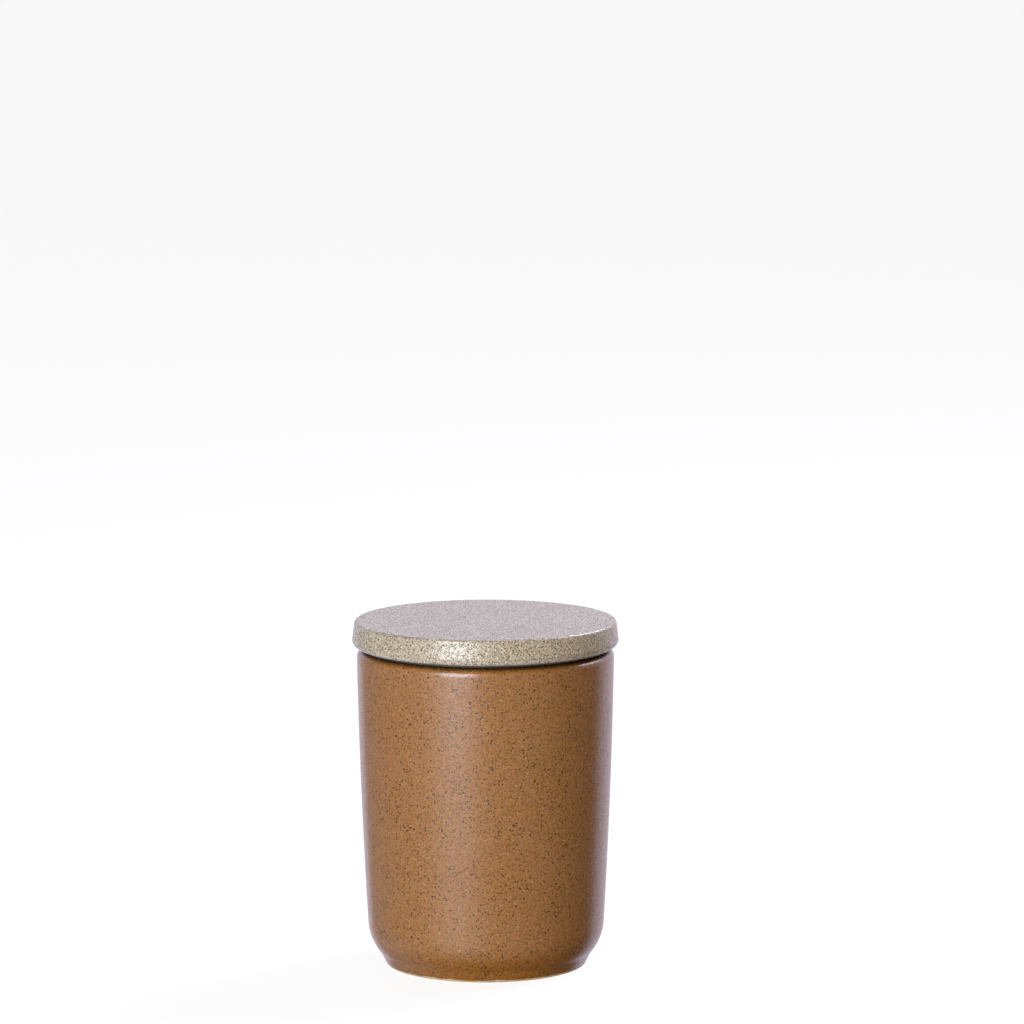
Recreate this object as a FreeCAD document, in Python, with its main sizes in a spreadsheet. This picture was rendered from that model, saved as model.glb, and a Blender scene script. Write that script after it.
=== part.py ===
import FreeCAD, Part
import math
import os
import Sketcher

# Stoneware storage jar: a footed jar, a flat stoneware lid with a collar under it, and
# a silicone seal on the collar. Millimetres, +Z up, origin at the centre of the plane
# that the foot rests on. Every piece is turned about Z from one half of its outline.

# name in the sheet, value, what it is
SIZES = [
    # jar, heights from the ground
    ("rim_height", 119.3, "top of the rim"),
    ("rim_radius", 48.15, "outside at the rim"),
    ("side_bow", 2560.0, "radius of the side's gentle outward bow"),
    ("heel_height", 9.9, "side meets the bevel above the foot"),
    ("heel_radius", 43.9, "outside at the heel"),
    ("heel_round", 19.0, "round between side and bevel"),
    ("waist_height", 4.4, "bevel meets the foot ring"),
    ("waist_radius", 39.45, "outside at the waist"),
    ("waist_round", 6.0, "hollow between bevel and foot ring"),
    ("foot_radius", 37.3, "outside of the foot ring at the ground"),
    ("foot_round", 1.7, "outer edge of the foot ring"),
    ("recess_radius", 31.8, "inside of the foot ring"),
    ("recess_height", 2.0, "underside of the floor"),
    ("recess_round", 1.2, "inner edge of the foot ring"),
    ("floor_height", 7.5, "top of the floor inside"),
    ("floor_radius", 40.2, "inside at the floor"),
    ("floor_round", 11.0, "round between floor and side"),
    ("mouth_radius", 43.6, "inside at the rim"),
    ("rim_outer_round", 3.0, "outer edge of the rim"),
    ("rim_inner_round", 1.2, "inner edge of the rim"),
    # lid, heights from the lower end of its collar
    ("lid_gap", 1.1, "rim to the underside of the lid's disc"),
    ("lid_thickness", 9.7, "disc"),
    ("lid_top_radius", 48.8, "disc at its top face"),
    ("lid_base_radius", 50.0, "disc at its underside"),
    ("lid_top_round", 1.7, "upper edge of the disc"),
    ("lid_base_round", 2.5, "lower edge of the disc"),
    ("collar_height", 10.2, "collar below the disc"),
    ("collar_radius", 41.4, "outside of the ledge that keeps the seal on"),
    ("collar_round", 0.8, "lower edges of the collar"),
    ("ledge_height", 2.0, "ledge at the collar's lower end"),
    ("groove_radius", 40.6, "collar behind the seal"),
    ("hollow_radius", 36.0, "inside of the collar"),
    ("hollow_rise", 2.0, "hollow inside the disc"),
    ("hollow_round", 4.0, "round at the top of the hollow"),
    # seal, heights from the lower end of its sleeve
    ("seal_play", 0.05, "running clearance between seal, lid and rim"),
    ("sleeve_thickness", 1.2, "sleeve round the collar"),
    ("seat_radius", 45.0, "flange as thick as the gap up to here, then thinner"),
    ("flange_radius", 46.3, "edge of the flange between rim and lid"),
    ("lip_rise", 0.4, "underside of the flange's edge above its seat"),
    ("lip_thickness", 0.4, "edge of the flange"),
    ("lip_round", 0.15, "corners of the flange's edge"),
    ("flange_fillet", 0.8, "root of the flange"),
    ("rib_radius", 43.1, "edge of a rib that wipes the mouth"),
    ("rib_start", 0.5, "first rib above the sleeve's lower end"),
    ("rib_root", 1.3, "height of a rib at the sleeve"),
    ("rib_edge", 0.5, "height of a rib at its edge"),
    ("rib_pitch", 2.1, "one rib to the next"),
    ("rib_count", 3, "ribs"),
]
VALUES = {name: value for name, value, meaning in SIZES}

# Sketcher's numbers for the sketch's own axes, its origin and the start and end of an edge
LEVEL_AXIS = -1
UPRIGHT_AXIS = -2
ORIGIN_POINT = (-1, 1)
START = 1
END = 2

# places where two sizes meet
AXIS = ""
GROUND = ""
LID_PLACE = "rim_height + lid_gap - collar_height"
LID_UNDERSIDE = "collar_height"
LID_TOP = "collar_height + lid_thickness"
SEAL_PLACE = "rim_height + lid_gap - collar_height + ledge_height + seal_play"
SEAL_BORE = "groove_radius + seal_play"
SLEEVE_RADIUS = "groove_radius + seal_play + sleeve_thickness"
FLANGE_BASE = "collar_height - ledge_height - lid_gap"
FLANGE_TOP = "collar_height - ledge_height - seal_play - seal_play"
LIP_BASE = f"{FLANGE_BASE} + lip_rise"
LIP_TOP = f"{LIP_BASE} + lip_thickness"


def size_sheet(doc):
    """Put the driving dimensions in a spreadsheet, one row each."""
    sheet = doc.addObject("Spreadsheet::Sheet", "Sizes")
    for row, (name, value, meaning) in enumerate(SIZES, start=1):
        sheet.set(f"A{row}", meaning)
        sheet.set(f"B{row}", str(value))
        sheet.setAlias(f"B{row}", name)
    doc.recompute()


def signed(terms):
    """Split a sum of sheet names into (sign, name) pairs."""
    words = ["+", *terms.split()] if terms else []
    return list(zip(words[0::2], words[1::2]))


def number(terms):
    """Value of a sum of sheet names, zero when it is empty."""
    return sum(-VALUES[name] if sign == "-" else VALUES[name] for sign, name in signed(terms))


def formula(terms):
    """The same sum as the document writes it."""
    return " ".join(f"{sign} Sizes.{name}" for sign, name in signed(terms))[2:]


def new_body(doc, label, height):
    """Start a piece whose own origin stands at a height from the sheet."""
    body = doc.addObject("PartDesign::Body", label)
    body.Label = label
    body.Placement = FreeCAD.Placement()
    if height:
        body.setExpression("Placement.Base.z", formula(height))
    return body


def new_sketch(body, name):
    """Sketch on the piece's own XZ plane: radius across, height up."""
    sketch = body.newObject("Sketcher::SketchObject", name)
    planes = [plane for plane in body.Origin.OriginFeatures if plane.Role == "XZ_Plane"]
    sketch.AttachmentSupport = [(planes[0], "")]
    sketch.MapMode = "FlatFace"
    return sketch


def bowed(start, end, radius):
    """Arc from start to end that bulges to the right of its way."""
    chord = end - start
    sagitta = radius - math.sqrt(radius ** 2 - (chord.Length / 2) ** 2)
    outward = FreeCAD.Vector(chord.y, -chord.x, 0).normalize()
    return Part.Arc(start, (start + end) / 2 + outward * sagitta, end)


def follow_sheet(sketch, name, constraint, terms):
    """Add a named constraint whose size follows the sheet."""
    index = sketch.addConstraint(constraint)
    sketch.renameConstraint(index, name)
    sketch.setExpression(f"Constraints.{name}", formula(terms))


def hold_start(sketch, edge, axis, terms):
    """Hold the start of an edge on an axis, or off it by a sum from the sheet."""
    if not terms:
        sketch.addConstraint(Sketcher.Constraint("PointOnObject", edge, START, axis))
        return
    kind = "DistanceX" if axis == UPRIGHT_AXIS else "DistanceY"
    distance = Sketcher.Constraint(kind, *ORIGIN_POINT, edge, START, number(terms))
    follow_sheet(sketch, f"corner{edge}_{kind}", distance, terms)


def draw_outline(sketch, corners, bow_after=None, bow=None):
    """Close an outline through (radius, height) corners, with one edge bowed if asked."""
    points = [FreeCAD.Vector(number(across), number(up), 0) for across, up in corners]
    following = points[1:] + points[:1]
    for edge, (start, end) in enumerate(zip(points, following)):
        if edge == bow_after:
            sketch.addGeometry(bowed(start, end, VALUES[bow]), False)
        else:
            sketch.addGeometry(Part.LineSegment(start, end), False)
    last = len(points) - 1
    for edge, (across, up) in enumerate(corners):
        before = edge - 1 if edge else last
        sketch.addConstraint(Sketcher.Constraint("Coincident", before, END, edge, START))
        hold_start(sketch, edge, UPRIGHT_AXIS, across)
        hold_start(sketch, edge, LEVEL_AXIS, up)
    if bow:
        radius = Sketcher.Constraint("Radius", bow_after, VALUES[bow])
        follow_sheet(sketch, "bow_radius", radius, bow)


def turn(body, sketch, name):
    """Turn an outline a full circle about Z."""
    turned = body.newObject("PartDesign::Revolution", name)
    turned.Profile = sketch
    turned.ReferenceAxis = (sketch, ["V_Axis"])
    turned.Angle = 360
    body.Document.recompute()
    return turned


def round_edge(body, name, radius, height, size):
    """Fillet the circular edge at a radius and height with a size from the sheet."""
    base = body.Tip
    wanted = FreeCAD.Vector(number(radius), 0, number(height))
    distances = []
    for position, edge in enumerate(base.Shape.Edges, start=1):
        if isinstance(edge.Curve, Part.Circle):
            circle = edge.Curve
            centre = circle.Center
            on_axis = math.hypot(centre.x, centre.y) < 1e-6 and abs(circle.Axis.z) > 0.999
            if on_axis:
                place = FreeCAD.Vector(circle.Radius, 0, centre.z)
                distances.append(((place - wanted).Length, f"Edge{position}"))
    distance, found = min(distances)
    if distance > 0.01:
        raise ValueError(f"{name}: no edge at {wanted}")
    fillet = body.newObject("PartDesign::Fillet", name)
    fillet.Base = (base, [found])
    fillet.setExpression("Radius", formula(size))
    body.Document.recompute()


def make_jar(doc):
    """Footed jar: bowed side, bevel and foot ring outside, open at the top."""
    body = new_body(doc, "jar_body", GROUND)
    outline = new_sketch(body, "jar_outline")
    corners = [
        (AXIS, "recess_height"),
        ("recess_radius", "recess_height"),
        ("recess_radius", GROUND),
        ("foot_radius", GROUND),
        ("waist_radius", "waist_height"),
        ("heel_radius", "heel_height"),
        ("rim_radius", "rim_height"),
        ("mouth_radius", "rim_height"),
        ("floor_radius", "floor_height"),
        (AXIS, "floor_height"),
    ]
    side = corners.index(("heel_radius", "heel_height"))
    draw_outline(outline, corners, side, "side_bow")
    turn(body, outline, "jar_turned")
    round_edge(body, "heel_rounded", "heel_radius", "heel_height", "heel_round")
    round_edge(body, "waist_rounded", "waist_radius", "waist_height", "waist_round")
    round_edge(body, "foot_rounded", "foot_radius", GROUND, "foot_round")
    round_edge(body, "recess_rounded", "recess_radius", GROUND, "recess_round")
    round_edge(body, "rim_rounded_outside", "rim_radius", "rim_height", "rim_outer_round")
    round_edge(body, "rim_rounded_inside", "mouth_radius", "rim_height", "rim_inner_round")
    round_edge(body, "floor_rounded", "floor_radius", "floor_height", "floor_round")
    return body


def make_lid(doc):
    """Flat disc over a hollow collar; a ledge on the collar keeps the seal on."""
    body = new_body(doc, "lid", LID_PLACE)
    outline = new_sketch(body, "lid_outline")
    ceiling = f"{LID_UNDERSIDE} + hollow_rise"
    draw_outline(outline, [
        ("hollow_radius", GROUND),
        ("collar_radius", GROUND),
        ("collar_radius", "ledge_height"),
        ("groove_radius", "ledge_height"),
        ("groove_radius", LID_UNDERSIDE),
        ("lid_base_radius", LID_UNDERSIDE),
        ("lid_top_radius", LID_TOP),
        (AXIS, LID_TOP),
        (AXIS, ceiling),
        ("hollow_radius", ceiling),
    ])
    turn(body, outline, "lid_turned")
    round_edge(body, "disc_rounded_above", "lid_top_radius", LID_TOP, "lid_top_round")
    round_edge(body, "disc_rounded_below", "lid_base_radius", LID_UNDERSIDE, "lid_base_round")
    round_edge(body, "hollow_rounded", "hollow_radius", ceiling, "hollow_round")
    round_edge(body, "collar_rounded_inside", "hollow_radius", GROUND, "collar_round")
    round_edge(body, "collar_rounded_outside", "collar_radius", GROUND, "collar_round")
    return body


def make_seal(doc):
    """Silicone sleeve with a thin-edged flange under the disc and ribs towards the mouth."""
    body = new_body(doc, "lid_seal", SEAL_PLACE)
    outline = new_sketch(body, "seal_outline")
    draw_outline(outline, [
        (SEAL_BORE, GROUND),
        (SLEEVE_RADIUS, GROUND),
        (SLEEVE_RADIUS, FLANGE_BASE),
        ("seat_radius", FLANGE_BASE),
        ("flange_radius", LIP_BASE),
        ("flange_radius", LIP_TOP),
        ("seat_radius", FLANGE_TOP),
        (SEAL_BORE, FLANGE_TOP),
    ])
    turn(body, outline, "seal_turned")
    round_edge(body, "flange_filleted", SLEEVE_RADIUS, FLANGE_BASE, "flange_fillet")
    round_edge(body, "lip_rounded_below", "flange_radius", LIP_BASE, "lip_round")
    round_edge(body, "lip_rounded_above", "flange_radius", LIP_TOP, "lip_round")
    rib = new_sketch(body, "rib_outline")
    draw_outline(rib, [
        (SEAL_BORE, "rib_start"),
        (SLEEVE_RADIUS, "rib_start"),
        ("rib_radius", "rib_start + rib_root - rib_edge"),
        ("rib_radius", "rib_start + rib_root"),
        (SEAL_BORE, "rib_start + rib_root"),
    ])
    first = turn(body, rib, "rib_turned")
    ribs = body.newObject("PartDesign::LinearPattern", "ribs")
    ribs.Originals = [first]
    ribs.Direction = (rib, ["V_Axis"])
    ribs.Mode = "Spacing"
    ribs.setExpression("Offset", formula("rib_pitch"))
    ribs.setExpression("Occurrences", formula("rib_count"))
    body.Tip = ribs
    return body


def check(doc, bodies):
    """Stop if any feature failed or any piece isn't one valid solid."""
    for item in doc.Objects:
        if {"Invalid", "Error"} & set(item.State):
            raise RuntimeError(f"{item.Label} failed: {item.State}")
    for body in bodies:
        shape = body.Shape
        if shape.isNull() or not shape.isValid() or len(shape.Solids) != 1:
            raise RuntimeError(f"{body.Label} isn't one valid solid")


def main():
    doc = FreeCAD.newDocument("storage_jar")
    size_sheet(doc)
    bodies = [make_jar(doc), make_lid(doc), make_seal(doc)]
    doc.recompute()
    check(doc, bodies)
    os.makedirs("parts", exist_ok=True)
    for body in bodies:
        body.Shape.exportStep(f"parts/{body.Label}.step")
        box = body.Shape.optimalBoundingBox()
        print(f"{body.Label}: {body.Shape.Volume / 1000:.1f} cm3, "
              f"z {box.ZMin:.2f} to {box.ZMax:.2f}, across {box.XLength:.2f}")


main()
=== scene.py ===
import math

import bmesh
import bpy
from bpy.props import FloatProperty, FloatVectorProperty, IntProperty, PointerProperty, StringProperty
from mathutils import Euler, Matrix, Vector, noise


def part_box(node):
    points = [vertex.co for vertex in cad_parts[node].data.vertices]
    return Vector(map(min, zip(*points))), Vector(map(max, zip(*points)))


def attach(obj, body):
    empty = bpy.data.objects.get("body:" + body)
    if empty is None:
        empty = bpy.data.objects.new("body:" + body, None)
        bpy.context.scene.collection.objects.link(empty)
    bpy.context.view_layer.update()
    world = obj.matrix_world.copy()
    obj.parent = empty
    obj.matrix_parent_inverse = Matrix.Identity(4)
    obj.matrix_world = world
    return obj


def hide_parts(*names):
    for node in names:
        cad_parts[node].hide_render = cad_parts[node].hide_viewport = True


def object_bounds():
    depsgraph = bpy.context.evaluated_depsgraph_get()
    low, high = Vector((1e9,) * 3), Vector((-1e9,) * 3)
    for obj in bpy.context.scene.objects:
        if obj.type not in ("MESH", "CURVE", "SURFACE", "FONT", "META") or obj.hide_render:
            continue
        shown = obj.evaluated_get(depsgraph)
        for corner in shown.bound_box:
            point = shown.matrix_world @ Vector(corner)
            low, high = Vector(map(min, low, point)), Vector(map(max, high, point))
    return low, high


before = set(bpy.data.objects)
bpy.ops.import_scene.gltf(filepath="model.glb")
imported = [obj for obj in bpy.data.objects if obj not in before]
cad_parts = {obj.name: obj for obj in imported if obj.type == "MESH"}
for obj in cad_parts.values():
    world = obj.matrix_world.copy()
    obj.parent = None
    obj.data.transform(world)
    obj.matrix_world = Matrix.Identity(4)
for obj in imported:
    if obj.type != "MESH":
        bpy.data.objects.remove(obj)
CAD_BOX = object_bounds()

bl_info = {
    "name": "Stoneware Storage Jar",
    "version": (1, 0, 0),
    "blender": (4, 5, 0),
    "location": "View3D > Sidebar > Jar",
    "description": "Glazed stoneware jar with a sealed stoneware lid, turned around its working frame",
    "category": "Add Mesh",
}

MM = 0.001
AROUND = 256        # faces round the jar and the lid
SEAL_AROUND = 224   # faces round the seal
GLAZE_IOR = 1.58    # stoneware glaze, a little above window glass
SILICONE_IOR = 1.41
BARE_CLAY_ROUGHNESS = 0.85

JAR_LOW, JAR_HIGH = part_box("jar_body")
LID_LOW, LID_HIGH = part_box("lid")
SEAL_LOW, SEAL_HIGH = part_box("lid_seal")


def half_width(low, high):
    """Radius of a round piece, no wider than its box in either direction."""
    return min(high.x - low.x, high.y - low.y) / 2


# ---------------------------------------------------------------- sizes and colours


def length(name, millimetres, description):
    """A size in the panel, given in millimetres."""
    return FloatProperty(name=name, description=description, default=millimetres * MM,
                         min=0.0, unit="LENGTH", subtype="DISTANCE", precision=5)


def hex_colour(name, default, description):
    """A colour in the panel, as an sRGB hex value."""
    return StringProperty(name=name, description=description, default=default)


class JarSizes(bpy.types.PropertyGroup):
    """Outline of the jar."""
    side_bow: length("Side bow", 2560.0, "Radius of the side's outward bow")
    heel_height: length("Heel height", 9.9, "Side meets the bevel above the foot")
    heel_radius: length("Heel radius", 43.9, "Outside at the heel")
    heel_round: length("Heel round", 19.0, "Round between side and bevel")
    waist_height: length("Waist height", 4.4, "Bevel meets the foot ring")
    waist_radius: length("Waist radius", 39.45, "Outside at the waist")
    waist_round: length("Waist round", 6.0, "Hollow between bevel and foot ring")
    foot_radius: length("Foot radius", 37.3, "Outside of the foot ring")
    foot_round: length("Foot round", 1.7, "Outer edge of the foot ring")
    recess_radius: length("Recess radius", 31.8, "Inside of the foot ring")
    recess_height: length("Recess height", 2.0, "Underside of the floor")
    recess_round: length("Recess round", 0.72, "Edges of the recess")
    floor_height: length("Floor height", 7.5, "Top of the floor inside")
    floor_radius: length("Floor radius", 40.2, "Inside at the floor")
    floor_round: length("Floor round", 11.0, "Round between floor and side")
    mouth_radius: length("Mouth radius", 43.6, "Inside at the rim")
    rim_outer_round: length("Rim outer round", 3.0, "Outer edge of the rim")
    rim_inner_round: length("Rim inner round", 1.2, "Inner edge of the rim")
    glaze_line: length("Glaze line", 1.0, "Height at which the glaze stops on the foot")
    glaze_wander: length("Glaze wander", 0.8, "How far the glaze line strays up and down")
    # Amber low on the jar: where the glaze gathers, deepened as painted shade by the foot.
    amber_shade_foot: length("Amber foot", 13.0, "Height below which the glaze gathers")
    # Amber below the rim: where the glaze breaks, deepened as painted shade under the lid's overhang.
    amber_shade_rim: length("Amber rim", 2.3, "Depth below the rim to which the glaze breaks")
    # Painted shade: depth of the dark band below the rim that stands for the shadow in the gap under
    # the lid.
    gap_shade_depth: length("Rust rim", 1.2, "Depth below the rim to which the clay's iron shows")
    out_of_round: length("Out of round", 0.12, "How far drying pulls the wall inwards")
    throwing_marks: length("Throwing marks", 0.03, "Depth of the rings left by turning")


class LidSizes(bpy.types.PropertyGroup):
    """Outline of the lid."""
    thickness: length("Thickness", 9.7, "Disc")
    top_inset: length("Top inset", 0.87, "Top face inside the widest part")
    flare: length("Flare", 1.2, "Side leans out towards the underside")
    top_round: length("Top round", 1.1, "Upper edge of the disc")
    base_round: length("Base round", 2.5, "Lower edge of the disc")
    # Painted reflection: height of the pale band over the lid's lower edge that stands for the floor
    # reflected there.
    reflection_band: length("Thin edge", 2.4, "Glaze run thin over the lower edge")
    collar_radius: length("Collar radius", 41.4, "Ledge that keeps the seal on")
    collar_round: length("Collar round", 0.8, "Lower edges of the collar")
    ledge_round: length("Ledge round", 0.2, "Edges of the ledge")
    groove_round: length("Groove round", 0.3, "Groove meets the disc")
    ledge_height: length("Ledge height", 2.0, "Ledge at the collar's lower end")
    groove_radius: length("Groove radius", 40.6, "Collar behind the seal")
    hollow_radius: length("Hollow radius", 36.0, "Inside of the collar")
    hollow_rise: length("Hollow rise", 2.0, "Hollow inside the disc")
    hollow_round: length("Hollow round", 4.0, "Round at the top of the hollow")


class SealSizes(bpy.types.PropertyGroup):
    """Outline of the seal."""
    bore_radius: length("Bore radius", 40.65, "Inside of the sleeve")
    sleeve: length("Sleeve", 1.2, "Thickness of the sleeve")
    flange: length("Flange", 1.0, "Thickness of the flange on the rim")
    seat_radius: length("Seat radius", 45.0, "Flange keeps its thickness up to here")
    lip_rise: length("Lip rise", 0.4, "Underside of the flange's edge above its seat")
    lip: length("Lip", 0.4, "Thickness of the flange's edge")
    rib_radius: length("Rib radius", 43.1, "Edge of a rib")
    rib_start: length("Rib start", 0.5, "First rib above the lower end")
    rib_root: length("Rib root", 1.3, "Height of a rib at the sleeve")
    rib_edge: length("Rib edge", 0.5, "Height of a rib at its edge")
    rib_pitch: length("Rib pitch", 2.1, "One rib to the next")
    rib_round: length("Rib round", 0.2, "Edges of a rib, and the bore's upper edge")
    root_round: length("Root round", 0.25, "Top of a rib at the sleeve, and the sleeve's lower edge")
    flange_round: length("Flange round", 0.3, "Bends of the flange")
    lip_round: length("Lip round", 0.15, "Both edges of the flange's thin lip")
    rib_count: IntProperty(name="Ribs", description="Ribs on the sleeve", default=3, min=1)


class Finishes(bpy.types.PropertyGroup):
    """Colours of the glazes, the clay and the silicone, and of the studio."""
    brown_glaze: hex_colour("Brown glaze", "#9B6737", "Caramel glaze of the jar")
    thin_glaze: hex_colour("Thin glaze", "#9B6533", "The same glaze where it runs thin")
    # Amber glaze, also used as painted shade under the lid and low down by the foot.
    amber_glaze_and_shade: hex_colour("Amber glaze", "#915718", "The same glaze at the rim and the foot")
    # Painted shade: dark colour along the very rim for the shadow in the gap under the lid.
    painted_gap_shade: hex_colour("Rust glaze", "#4E2A08", "Thinnest glaze, along the very rim")
    iron_speck: hex_colour("Iron speck", "#33230B", "Iron that bleeds through the glaze")
    oatmeal_glaze: hex_colour("Oatmeal glaze", "#B8A486", "Glaze of the lid")
    # Painted reflection: pale lilac-grey for the floor reflected in the lid's lower edge.
    lower_edge_reflection: hex_colour("Thin oatmeal", "#D6CFCB", "Oatmeal glaze run thin over an edge")
    dark_grain: hex_colour("Dark grain", "#463620", "Grog that shows through the lid's glaze")
    pale_grain: hex_colour("Pale grain", "#E0D4BC", "White grains in the lid's glaze")
    bare_clay: hex_colour("Bare clay", "#CDB894", "Fired clay without glaze")
    silicone: hex_colour("Silicone", "#48412A", "Moulded seal")
    floor: hex_colour("Floor", "#606062", "Studio floor")
    paper_glow: hex_colour("Paper glow", "#FBFAF8", "Light that fills the studio floor's shadows")


# ---------------------------------------------------------------- shapes


def rounded(corners, spacing):
    """Points through (radius, height, round) corners, each corner swept by an arc of its round."""
    points = []
    for index, (radius, height, size) in enumerate(corners):
        corner = Vector((radius, height))
        if size == 0.0 or index in (0, len(corners) - 1):
            points.append(corner)
            continue
        before = (Vector(corners[index - 1][:2]) - corner).normalized()
        after = (Vector(corners[index + 1][:2]) - corner).normalized()
        half_angle = before.angle(after) / 2
        reach = size / math.tan(half_angle)
        centre = corner + (before + after).normalized() * (size / math.sin(half_angle))
        start = corner + before * reach - centre
        end = corner + after * reach - centre
        sweep = math.pi - 2 * half_angle
        if start.x * end.y < start.y * end.x:
            sweep = -sweep
        steps = max(4, math.ceil(abs(sweep) * size / spacing))
        for step in range(steps + 1):
            angle = sweep * step / steps
            turned = Vector((start.x * math.cos(angle) - start.y * math.sin(angle),
                             start.x * math.sin(angle) + start.y * math.cos(angle)))
            points.append(centre + turned)
    return points


def bowed(start, end, radius, steps):
    """Corners on a shallow arc from start to end that bulges to the right of its way."""
    chord = end - start
    sagitta = radius - math.sqrt(radius ** 2 - (chord.length / 2) ** 2)
    outward = Vector((chord.y, -chord.x)).normalized()
    share = [step / steps for step in range(steps + 1)]
    return [(*(start + chord * s + outward * sagitta * 4 * s * (1 - s)), 0.0) for s in share]


def spread(points, spacing):
    """Add points so that no two are further apart than the spacing."""
    dense = [points[0]]
    for start, end in zip(points, points[1:]):
        steps = max(1, math.ceil((end - start).length / spacing))
        dense += [start.lerp(end, step / steps) for step in range(1, steps + 1)]
    return dense


def turned_piece(name, outline, around, unevenness=None):
    """Turn an outline into a mesh, closing it at the axis or onto itself.

    unevenness moves each vertex inwards, as hand and kiln leave it.
    """
    on_axis = 1e-7
    mesh = bmesh.new()
    rings = []
    for point in outline:
        if point.x < on_axis:
            rings.append([mesh.verts.new((0.0, 0.0, point.y))])
            continue
        ring = []
        for step in range(around):
            angle = math.tau * step / around
            radius = point.x
            if unevenness:
                radius -= unevenness(angle, point.y)
            ring.append(mesh.verts.new((radius * math.cos(angle), radius * math.sin(angle), point.y)))
        rings.append(ring)
    pairs = list(zip(rings, rings[1:]))
    if len(rings[0]) > 1:
        pairs.append((rings[-1], rings[0]))
    for lower, upper in pairs:
        for step in range(around):
            following = (step + 1) % around
            corners = [lower[step % len(lower)], lower[following % len(lower)],
                       upper[following % len(upper)], upper[step % len(upper)]]
            mesh.faces.new(list(dict.fromkeys(corners)))
    bmesh.ops.recalc_face_normals(mesh, faces=mesh.faces)
    data = bpy.data.meshes.new(name)
    mesh.to_mesh(data)
    mesh.free()
    data.shade_smooth()
    piece = bpy.data.objects.new(name, data)
    bpy.context.collection.objects.link(piece)
    return piece


def place_piece(piece, body, node, material):
    """Give a piece its finish, its body and the working node that it stands for."""
    piece.data.materials.append(material)
    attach(piece, body)
    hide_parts(node)


# ---------------------------------------------------------------- materials


def linear(hex_value):
    """An sRGB hex value as a linear colour."""
    channels = [int(hex_value[start:start + 2], 16) / 255 for start in (1, 3, 5)]
    return (*[c / 12.92 if c <= 0.04045 else ((c + 0.055) / 1.055) ** 2.4 for c in channels], 1.0)


def new_material(name):
    """An empty material with one Principled shader, and that shader."""
    material = bpy.data.materials.new(name)
    material.use_nodes = True
    return material, material.node_tree.nodes["Principled BSDF"]


def add(material, kind, inputs=(), **settings):
    """Add a node with its settings, and set or link its inputs by name or number."""
    new = material.node_tree.nodes.new(kind)
    for name, value in settings.items():
        setattr(new, name, value)
    for socket, value in dict(inputs).items():
        join(material, value, new.inputs[socket])
    return new


def join(material, value, socket):
    """Link a socket into another, or set it to a plain value."""
    if isinstance(value, bpy.types.NodeSocket):
        material.node_tree.links.new(value, socket)
    else:
        socket.default_value = value


def per(millimetres):
    """Texture scale at which one feature measures that many millimetres."""
    return 1000.0 / millimetres


def grain(material, place, millimetres, detail=2.0, rough=0.5):
    """Cloudy noise whose features measure so many millimetres."""
    inputs = {"Vector": place, "Scale": per(millimetres), "Detail": detail, "Roughness": rough}
    return add(material, "ShaderNodeTexNoise", inputs).outputs["Fac"]


def threshold(material, value, low, high, start=0.0, end=1.0):
    """Smooth step from start to end while a value goes from low to high."""
    inputs = {"Value": value, "From Min": low, "From Max": high, "To Min": start, "To Max": end}
    step = add(material, "ShaderNodeMapRange", inputs, interpolation_type="SMOOTHSTEP")
    return step.outputs["Result"]


def blend(material, share, below, above):
    """Colour between two others."""
    mix = add(material, "ShaderNodeMix", {0: share, 6: below, 7: above}, data_type="RGBA")
    return mix.outputs[2]


def combine(material, operation, *values):
    """Arithmetic on numbers."""
    return add(material, "ShaderNodeMath", enumerate(values), operation=operation).outputs[0]


def specks(material, place, spacing, smallest, largest, softness=0.12, crowding=1.0):
    """Mask of scattered specks, one to each cell of the spacing; all lengths in mm.

    smallest and largest are radii and softness is how wide an edge fades. crowding scales the
    radii from place to place, so that the specks gather in loose clusters.
    """
    cells = add(material, "ShaderNodeTexVoronoi", {"Vector": place, "Scale": per(spacing)})
    pick = add(material, "ShaderNodeSeparateColor", {0: cells.outputs["Color"]}).outputs[0]
    size = threshold(material, pick, 0.0, 1.0, smallest / spacing, largest / spacing)
    size = combine(material, "MULTIPLY", size, crowding)
    inside = combine(material, "SUBTRACT", size, cells.outputs["Distance"])
    return threshold(material, inside, 0.0, softness / spacing)


def object_place(material, wander, millimetres):
    """Object coordinates, bent a little so that specks aren't round."""
    coordinates = add(material, "ShaderNodeTexCoord").outputs["Object"]
    bend = add(material, "ShaderNodeTexNoise",
               {"Vector": coordinates, "Scale": per(millimetres), "Detail": 1.0})
    centred = add(material, "ShaderNodeVectorMath",
                  {0: bend.outputs["Color"], 1: (0.5, 0.5, 0.5)}, operation="SUBTRACT")
    moved = add(material, "ShaderNodeVectorMath",
                {0: centred.outputs[0], 1: (wander * MM,) * 3, 2: coordinates},
                operation="MULTIPLY_ADD")
    return coordinates, moved.outputs[0]


def relief(material, layers):
    """Bump from (value, height in mm) layers added together."""
    total = None
    for value, height in layers:
        scaled = combine(material, "MULTIPLY", value, height)
        total = scaled if total is None else combine(material, "ADD", total, scaled)
    bump = add(material, "ShaderNodeBump", {"Height": total, "Distance": MM, "Strength": 1.0})
    return bump.outputs["Normal"]


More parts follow.
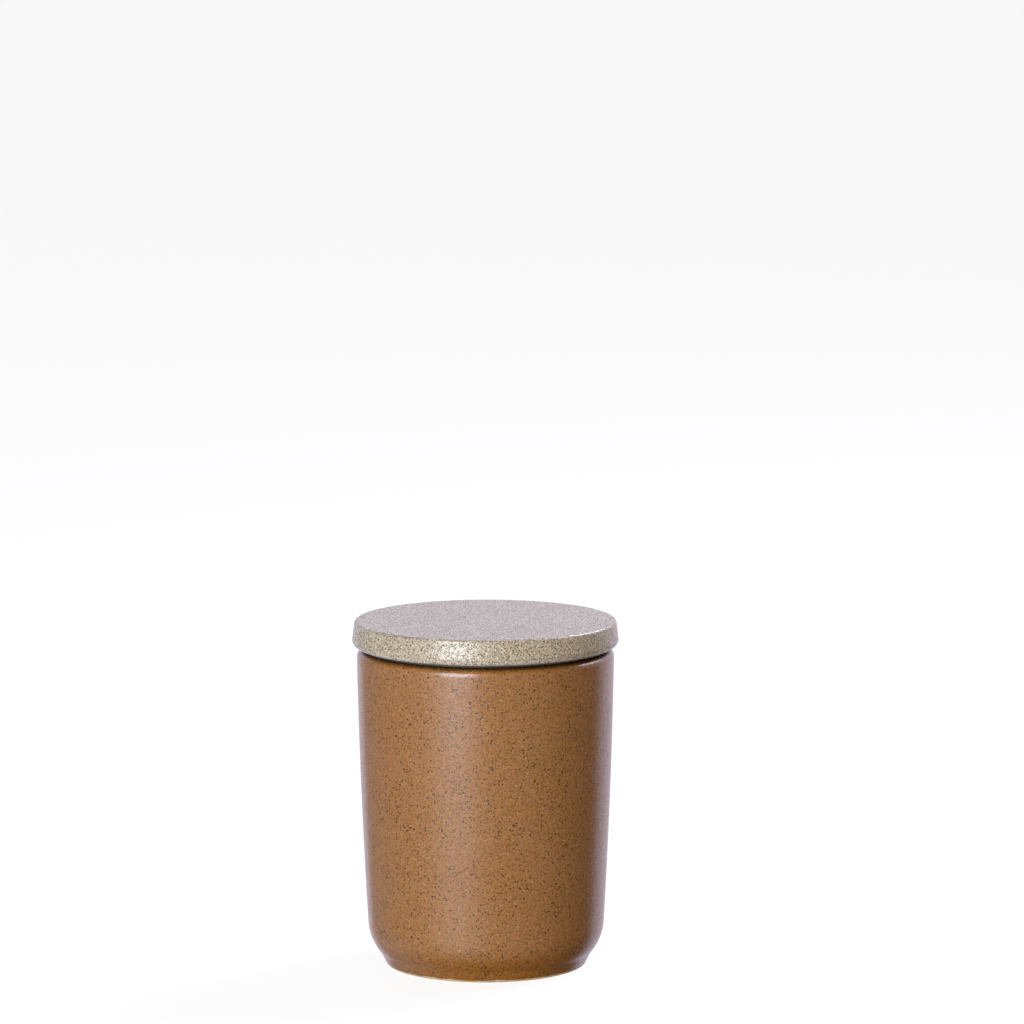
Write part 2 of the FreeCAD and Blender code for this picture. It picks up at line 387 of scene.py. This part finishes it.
def brown_stoneware(colours, sizes, ground, rim):
    """Stoneware fired in a satin caramel glaze.

    Iron in the clay bleeds through as dark specks. The glaze is amber where it breaks over the
    rim and gathers at the foot; that amber is deepened as painted shade under the lid and low
    down by the foot. A dark rust band along the very rim is painted shade of the gap under the
    lid. Its skin is slightly rippled, so highlights are broad and soft-edged. The foot is wiped.
    """
    material, shader = new_material("satin_caramel_glaze_on_stoneware")
    even, bent = object_place(material, 0.5, 0.7)
    height = add(material, "ShaderNodeSeparateXYZ", {0: even}).outputs["Z"]
    clouds = grain(material, even, 26.0, 3.0)
    mottle = grain(material, even, 0.75, 2.0, 0.6)
    crowding = threshold(material, grain(material, even, 12.0, 2.0), 0.3, 0.7, 0.9, 1.1)
    iron = specks(material, bent, spacing=1.3, smallest=0.05, largest=0.42, crowding=crowding)
    fine_iron = specks(material, bent, spacing=0.8, smallest=0.05, largest=0.33, crowding=crowding)
    dust = specks(material, even, spacing=0.55, smallest=0.0, largest=0.3, softness=0.15)
    pale = specks(material, bent, spacing=3.0, smallest=0.0, largest=0.4, softness=0.15)
    bright = specks(material, even, spacing=0.85, smallest=0.0, largest=0.34)

    colour = blend(material, threshold(material, clouds, 0.3, 0.7),
                   linear(colours.brown_glaze), linear(colours.thin_glaze))
    # Amber where the glaze gathers by the foot and breaks at the rim, deepened as painted shade low on
    # the jar and under the lid's overhang.
    foot_amber_and_shade = threshold(material, height, ground + sizes.amber_shade_foot / 2, ground + sizes.amber_shade_foot,
                         1.0, 0.0)
    rim_amber_and_shade = threshold(material, height, rim - sizes.amber_shade_rim, rim - sizes.amber_shade_rim / 2)
    colour = blend(material, combine(material, "MAXIMUM", foot_amber_and_shade, rim_amber_and_shade), colour,
                   linear(colours.amber_glaze_and_shade))
    # Painted shade: dark rust band along the very rim, for the shadow in the gap under the lid.
    lip = threshold(material, height, rim - sizes.gap_shade_depth, rim - sizes.gap_shade_depth / 3, 0.0, 0.9)
    colour = blend(material, lip, colour, linear(colours.painted_gap_shade))
    colour = blend(material, threshold(material, mottle, 0.3, 0.75, 0.0, 0.38), colour,
                   linear(colours.iron_speck))
    for mask, strength, tint in [
        (bright, 0.18, colours.bare_clay),
        (dust, 0.6, colours.iron_speck),
        (fine_iron, 0.9, colours.iron_speck),
        (iron, 0.95, colours.iron_speck),
        (pale, 0.4, colours.bare_clay),
    ]:
        share = combine(material, "MULTIPLY", mask, strength)
        colour = blend(material, share, colour, linear(tint))
    wave = combine(material, "MULTIPLY", grain(material, even, 5.0, 1.0), sizes.glaze_wander)
    edge = combine(material, "SUBTRACT", height, wave)
    line = ground + sizes.glaze_line - sizes.glaze_wander / 2
    glazed = threshold(material, edge, line - 0.05 * MM, line + 0.05 * MM)
    sandy = threshold(material, grain(material, even, 0.5, 3.0), 0.35, 0.7, 0.0, 0.3)
    clay = blend(material, sandy, linear(colours.bare_clay), linear(colours.dark_grain))
    join(material, blend(material, glazed, clay, colour), shader.inputs["Base Color"])
    satin = threshold(material, mottle, 0.3, 0.7, 0.24, 0.32)
    rough = add(material, "ShaderNodeMix", {0: glazed, 2: BARE_CLAY_ROUGHNESS, 3: satin})
    join(material, rough.outputs[0], shader.inputs["Roughness"])
    shader.inputs["IOR"].default_value = GLAZE_IOR
    join(material, relief(material, [
        (grain(material, even, 7.0, 1.0), 0.08),
        (mottle, 0.045),
        (iron, -0.02),
        (glazed, 0.15),
    ]), shader.inputs["Normal"])
    return material


def oatmeal_stoneware(colours, sizes, under):
    """Speckled stoneware under a thin satin oatmeal glaze.

    Brown grog and white grains show densely through it, and they pit the skin, so its
    highlight breaks up into sparkles. A pale lilac-grey band over the lower edge is a painted
    reflection of the floor below.
    """
    material, shader = new_material("satin_oatmeal_glaze_on_speckled_stoneware")
    even, bent = object_place(material, 0.35, 0.5)
    height = add(material, "ShaderNodeSeparateXYZ", {0: even}).outputs["Z"]
    outside = threshold(material, height, under, under + 0.3 * MM)
    # Painted reflection: pale band over the lower edge, for the floor reflected there.
    thin = threshold(material, height, under + sizes.reflection_band / 3, under + sizes.reflection_band,
                     0.6, 0.0)
    clouds = grain(material, even, 18.0, 2.0)
    sand = grain(material, even, 0.6, 2.0, 0.6)
    dark = specks(material, bent, spacing=0.75, smallest=0.1, largest=0.4)
    pale = specks(material, even, spacing=0.8, smallest=0.1, largest=0.36)
    colour = blend(material, threshold(material, clouds, 0.3, 0.7, 0.0, 0.08),
                   linear(colours.oatmeal_glaze), linear(colours.dark_grain))
    colour = blend(material, combine(material, "MULTIPLY", outside, thin), colour,
                   linear(colours.lower_edge_reflection))
    for mask, strength, tint in [
        (threshold(material, sand, 0.42, 0.68), 0.75, colours.dark_grain),
        (pale, 0.62, colours.pale_grain),
        (dark, 0.8, colours.dark_grain),
    ]:
        share = combine(material, "MULTIPLY", mask, strength)
        colour = blend(material, share, colour, linear(tint))
    join(material, colour, shader.inputs["Base Color"])
    satin = threshold(material, sand, 0.35, 0.65, 0.12, 0.44)
    dull = combine(material, "MULTIPLY", dark, 0.6)
    join(material, combine(material, "MAXIMUM", satin, dull), shader.inputs["Roughness"])
    shader.inputs["IOR"].default_value = GLAZE_IOR
    join(material, relief(material, [
        (grain(material, even, 9.0, 1.0), 0.05),
        (sand, 0.1),
        (dark, -0.03),
        (pale, 0.02),
    ]), shader.inputs["Normal"])
    return material


def seal_silicone(colours):
    """Moulded silicone: soft, faintly translucent, with the fine satin of the mould."""
    material, shader = new_material("moulded_silicone")
    place = add(material, "ShaderNodeTexCoord").outputs["Object"]
    mould = grain(material, place, 0.4)
    join(material, blend(material, threshold(material, mould, 0.3, 0.7, 0.0, 0.12),
                         linear(colours.silicone), linear(colours.dark_grain)),
         shader.inputs["Base Color"])
    join(material, threshold(material, mould, 0.3, 0.7, 0.42, 0.55), shader.inputs["Roughness"])
    shader.inputs["IOR"].default_value = SILICONE_IOR
    shader.inputs["Subsurface Weight"].default_value = 0.15
    shader.inputs["Subsurface Scale"].default_value = 1.0 * MM
    join(material, relief(material, [(mould, 0.01)]), shader.inputs["Normal"])
    return material


def studio_paper(colours, glow):
    """Seamless backdrop paper: white, dead matte and lit from all round, so nearly shadowless.

    Its back is clear, so that the object's underside can be looked at.
    """
    material, shader = new_material("backdrop_paper")
    place = add(material, "ShaderNodeTexCoord").outputs["Object"]
    shader.inputs["Base Color"].default_value = linear(colours.floor)
    shader.inputs["Roughness"].default_value = 0.95
    shader.inputs["Emission Color"].default_value = linear(colours.paper_glow)
    shader.inputs["Emission Strength"].default_value = glow
    tooth = grain(material, place, 3.0)
    join(material, relief(material, [(tooth, 0.02)]), shader.inputs["Normal"])
    back = add(material, "ShaderNodeNewGeometry").outputs["Backfacing"]
    clear = add(material, "ShaderNodeBsdfTransparent").outputs[0]
    either = add(material, "ShaderNodeMixShader", {0: back, 1: shader.outputs[0], 2: clear})
    join(material, either.outputs[0], material.node_tree.nodes["Material Output"].inputs["Surface"])
    return material


# ---------------------------------------------------------------- pieces


def wall_unevenness(sizes):
    """How far a thrown and fired wall draws in at an angle and a height in metres."""
    slump_frequency = 0.9    # how often the wall slumps on the way round
    slump_stretch = 6.0      # how soon that changes on the way up
    ring_frequency = 150.0   # how closely the turning rings follow each other
    ring_place = 3.7         # which stretch of the noise the rings come from

    def inward(angle, height):
        around = Vector((math.cos(angle), math.sin(angle), height * slump_stretch))
        slump = 0.5 + 0.5 * noise.noise(around * slump_frequency)
        ring = 0.5 + 0.5 * noise.noise(Vector((height * ring_frequency, 0.0, ring_place)))
        return sizes.out_of_round * slump + sizes.throwing_marks * ring

    return inward


class JAR_OT_body(bpy.types.Operator):
    """Turn the footed jar"""
    bl_idname = "jar.body"
    bl_label = "Jar Body"

    def execute(self, context):
        sizes = context.scene.jar_sizes
        rim = Vector((half_width(JAR_LOW, JAR_HIGH), JAR_HIGH.z))
        ground = JAR_LOW.z
        heel = Vector((sizes.heel_radius, ground + sizes.heel_height))
        side = bowed(heel, rim, sizes.side_bow, steps=24)
        between_rounds = side[4:-2]  # leaves room for the rounds at the heel and the rim
        corners = [
            (0.0, ground + sizes.recess_height, 0.0),
            (sizes.recess_radius, ground + sizes.recess_height, sizes.recess_round),
            (sizes.recess_radius, ground, sizes.recess_round),
            (sizes.foot_radius, ground, sizes.foot_round),
            (sizes.waist_radius, ground + sizes.waist_height, sizes.waist_round),
            (*heel, sizes.heel_round),
            *between_rounds,
            (*rim, sizes.rim_outer_round),
            (sizes.mouth_radius, rim.y, sizes.rim_inner_round),
            (sizes.floor_radius, ground + sizes.floor_height, sizes.floor_round),
            (0.0, ground + sizes.floor_height, 0.0),
        ]
        outline = spread(rounded(corners, spacing=0.35 * MM), spacing=2.0 * MM)
        piece = turned_piece("glazed_jar", outline, AROUND, wall_unevenness(sizes))
        material = brown_stoneware(context.scene.jar_finishes, sizes, ground, rim.y)
        place_piece(piece, "jar", "jar_body", material)
        return {"FINISHED"}


class JAR_OT_lid(bpy.types.Operator):
    """Turn the lid with its hollow collar"""
    bl_idname = "jar.lid"
    bl_label = "Lid"

    def execute(self, context):
        sizes = context.scene.jar_lid_sizes
        foot = LID_LOW.z
        top = LID_HIGH.z
        under = top - sizes.thickness
        ceiling = under + sizes.hollow_rise
        widest = half_width(LID_LOW, LID_HIGH)
        top_radius = widest - sizes.top_inset
        corners = [
            (0.0, ceiling, 0.0),
            (sizes.hollow_radius, ceiling, sizes.hollow_round),
            (sizes.hollow_radius, foot, sizes.collar_round),
            (sizes.collar_radius, foot, sizes.collar_round),
            (sizes.collar_radius, foot + sizes.ledge_height, sizes.ledge_round),
            (sizes.groove_radius, foot + sizes.ledge_height, sizes.ledge_round),
            (sizes.groove_radius, under, sizes.groove_round),
            (top_radius + sizes.flare, under, sizes.base_round),
            (top_radius, top, sizes.top_round),
            (0.0, top, 0.0),
        ]
        outline = spread(rounded(corners, spacing=0.25 * MM), spacing=2.0 * MM)
        piece = turned_piece("glazed_lid", outline, AROUND)
        place_piece(piece, "lid", "lid",
                    oatmeal_stoneware(context.scene.jar_finishes, sizes, under))
        return {"FINISHED"}


class JAR_OT_seal(bpy.types.Operator):
    """Turn the ribbed silicone seal"""
    bl_idname = "jar.seal"
    bl_label = "Lid Seal"

    def execute(self, context):
        sizes = context.scene.jar_seal_sizes
        low = SEAL_LOW.z
        high = SEAL_HIGH.z
        edge = half_width(SEAL_LOW, SEAL_HIGH)
        sleeve = sizes.bore_radius + sizes.sleeve
        lean = sizes.rib_root - sizes.rib_edge
        lip_base = high - sizes.flange + sizes.lip_rise
        corners = [
            (sizes.bore_radius, low, 0.0),
            (sleeve, low, sizes.root_round),
        ]
        for rib in range(sizes.rib_count):
            base = low + sizes.rib_start + rib * sizes.rib_pitch
            corners += [
                (sleeve, base, sizes.rib_round),
                (sizes.rib_radius, base + lean, sizes.rib_round),
                (sizes.rib_radius, base + sizes.rib_root, sizes.rib_round),
                (sleeve, base + sizes.rib_root, sizes.root_round),
            ]
        corners += [
            (sleeve, high - sizes.flange, sizes.flange_round),
            (sizes.seat_radius, high - sizes.flange, sizes.flange_round),
            (edge, lip_base, sizes.lip_round),
            (edge, lip_base + sizes.lip, sizes.lip_round),
            (sizes.seat_radius, high, sizes.flange_round),
            (sizes.bore_radius, high, sizes.rib_round),
            (sizes.bore_radius, low, 0.0),
        ]
        outline = spread(rounded(corners, spacing=0.08 * MM), spacing=1.5 * MM)[:-1]
        piece = turned_piece("silicone_seal", outline, SEAL_AROUND)
        place_piece(piece, "seal", "lid_seal",
                    seal_silicone(context.scene.jar_finishes))
        return {"FINISHED"}


# ---------------------------------------------------------------- studio


class StudioSetup(bpy.types.PropertyGroup):
    """Camera, lights and floor."""
    camera_place: FloatVectorProperty(
        name="Camera", description="Where the camera stands", size=3, unit="LENGTH",
        default=(0.01055, -2.21, 0.4855))
    camera_pitch: FloatProperty(
        name="Pitch", description="How far the camera looks down", subtype="ANGLE",
        default=math.radians(8.11))
    camera_roll: FloatProperty(
        name="Roll", description="How far the camera leans", subtype="ANGLE",
        default=math.radians(0.1))
    lens: FloatProperty(name="Lens", description="Focal length in mm", default=211.05)
    key_power: FloatProperty(name="Key", description="Softbox at the front left, W", default=48.0)
    edge_power: FloatProperty(name="Edge", description="Softbox at the back right, W", default=22.0)
    floor_glow: FloatProperty(
        name="Floor glow", description="How brightly the floor glows for the camera",
        default=0.9)
    floor_reach: FloatProperty(
        name="Floor reach", description="Middle of the floor to its edges", default=12.0,
        unit="LENGTH")


# White tent: name of each panel, azimuth and elevation of its middle in degrees, how far from
# there it is fully lit and how far until it is dark, in degrees, and colour. Azimuth 0 is the
# camera's side of the jar, and positive is to its right.
TENT = [
    ("backdrop", 169.5, 8.0, 45.5, 49.5, (0.97, 0.95, 1.18)),
    ("left_table", -135.0, -42.0, 12.0, 40.0, (0.24, 0.24, 0.28)),
    ("card", -27.0, -20.0, 6.0, 30.0, (0.66, 0.73, 0.85)),
    ("left", -90.0, 0.0, 10.0, 85.0, (0.21, 0.27, 0.37)),
    ("right", 75.0, 35.0, 10.0, 75.0, (0.18, 0.16, 0.14)),
    ("front", 0.0, 0.0, 10.0, 85.0, (0.31, 0.31, 0.31)),
    ("table", 0.0, -90.0, 10.0, 85.0, (0.29, 0.21, 0.13)),
]


def toward(azimuth, elevation):
    """Direction from the jar, for an azimuth and an elevation in degrees."""
    turn = math.radians(azimuth)
    rise = math.radians(elevation)
    level = math.cos(rise)
    return Vector((math.sin(turn) * level, -math.cos(turn) * level, math.sin(rise)))


def softbox(name, azimuth, elevation, distance, size, power, colour):
    """Rectangular softbox aimed at the jar."""
    way = toward(azimuth, elevation)
    data = bpy.data.lights.new(name, "AREA")
    data.shape = "RECTANGLE"
    data.size, data.size_y = size
    data.energy = power
    data.color = colour
    lamp = bpy.data.objects.new(name, data)
    lamp.location = (CAD_BOX[0] + CAD_BOX[1]) / 2 + way * distance
    lamp.rotation_euler = way.to_track_quat("Z", "Y").to_euler()
    bpy.context.collection.objects.link(lamp)


def white_tent():
    """World light: soft white panels, each fading out over its own angle."""
    world = bpy.data.worlds.new("white_tent")
    world.use_nodes = True
    way = add(world, "ShaderNodeTexCoord").outputs["Generated"]
    total = (0.0, 0.0, 0.0)
    for name, azimuth, elevation, full, dark, colour in TENT:
        facing = add(world, "ShaderNodeVectorMath", {0: way, 1: toward(azimuth, elevation)},
                     operation="DOT_PRODUCT")
        share = threshold(world, facing.outputs["Value"], math.cos(math.radians(dark)),
                          math.cos(math.radians(full)))
        panel = add(world, "ShaderNodeVectorMath", {0: colour, 3: share}, operation="SCALE",
                    label=name)
        total = add(world, "ShaderNodeVectorMath", {0: total, 1: panel.outputs[0]},
                    operation="ADD").outputs[0]
    join(world, total, world.node_tree.nodes["Background"].inputs["Color"])
    return world


def paper_floor(setup, material):
    """A wide sheet under the jar that only the camera sees: it neither lights nor shades it."""
    reach = setup.floor_reach
    corners = [(x, y, CAD_BOX[0].z) for x, y in
               [(-reach, -reach), (reach, -reach), (reach, reach), (-reach, reach)]]
    data = bpy.data.meshes.new("studio_floor")
    data.from_pydata(corners, [], [(0, 1, 2, 3)])
    data.materials.append(material)
    floor = bpy.data.objects.new("studio_floor", data)
    floor.visible_diffuse = False
    floor.visible_glossy = False
    floor.visible_shadow = False
    bpy.context.collection.objects.link(floor)


def tripod_camera(setup):
    """The camera, level but for its pitch and roll."""
    data = bpy.data.cameras.new("camera")
    data.lens = setup.lens
    data.clip_end = 100.0
    camera = bpy.data.objects.new("camera", data)
    camera.location = setup.camera_place
    camera.rotation_euler = Euler((math.pi / 2 - setup.camera_pitch, setup.camera_roll, 0.0))
    bpy.context.collection.objects.link(camera)
    return camera


class JAR_OT_studio(bpy.types.Operator):
    """Set the floor, the lights and the camera"""
    bl_idname = "jar.studio"
    bl_label = "Studio"

    def execute(self, context):
        setup = context.scene.jar_studio
        paper_floor(setup, studio_paper(context.scene.jar_finishes, setup.floor_glow))
        softbox("key_softbox", azimuth=-26.0, elevation=18.0, distance=1.9, size=(0.9, 1.5),
                power=setup.key_power, colour=(0.9, 0.98, 1.12))
        softbox("edge_softbox", azimuth=127.0, elevation=42.0, distance=1.6, size=(0.8, 0.8),
                power=setup.edge_power, colour=(0.9, 0.95, 1.25))
        context.scene.world = white_tent()
        context.scene.view_settings.view_transform = "Standard"
        context.scene.camera = tripod_camera(setup)
        return {"FINISHED"}


class JAR_PT_panel(bpy.types.Panel):
    """Everything that the jar is made from, in the order of making"""
    bl_idname = "JAR_PT_panel"
    bl_label = "Storage Jar"
    bl_space_type = "VIEW_3D"
    bl_region_type = "UI"
    bl_category = "Jar"

    def draw(self, context):
        for operator in OPERATORS:
            self.layout.operator(operator.bl_idname)
        for owner, group in GROUPS.items():
            settings = getattr(context.scene, owner)
            column = self.layout.column(align=True)
            for name in group.__annotations__:
                column.prop(settings, name)


GROUPS = {
    "jar_sizes": JarSizes,
    "jar_lid_sizes": LidSizes,
    "jar_seal_sizes": SealSizes,
    "jar_finishes": Finishes,
    "jar_studio": StudioSetup,
}
OPERATORS = (JAR_OT_body, JAR_OT_lid, JAR_OT_seal, JAR_OT_studio)
CLASSES = (*GROUPS.values(), *OPERATORS, JAR_PT_panel)


def register():
    """Register the classes and give each group of settings a place in the scene."""
    for item in CLASSES:
        bpy.utils.register_class(item)
    for owner, group in GROUPS.items():
        setattr(bpy.types.Scene, owner, PointerProperty(type=group))


def unregister():
    """Take back what register did."""
    for owner in GROUPS:
        delattr(bpy.types.Scene, owner)
    for item in reversed(CLASSES):
        bpy.utils.unregister_class(item)


def main():
    """Make every piece and the stage."""
    register()
    bpy.ops.jar.body()
    bpy.ops.jar.lid()
    bpy.ops.jar.seal()
    bpy.ops.jar.studio()


if __name__ == "__main__":
    main()
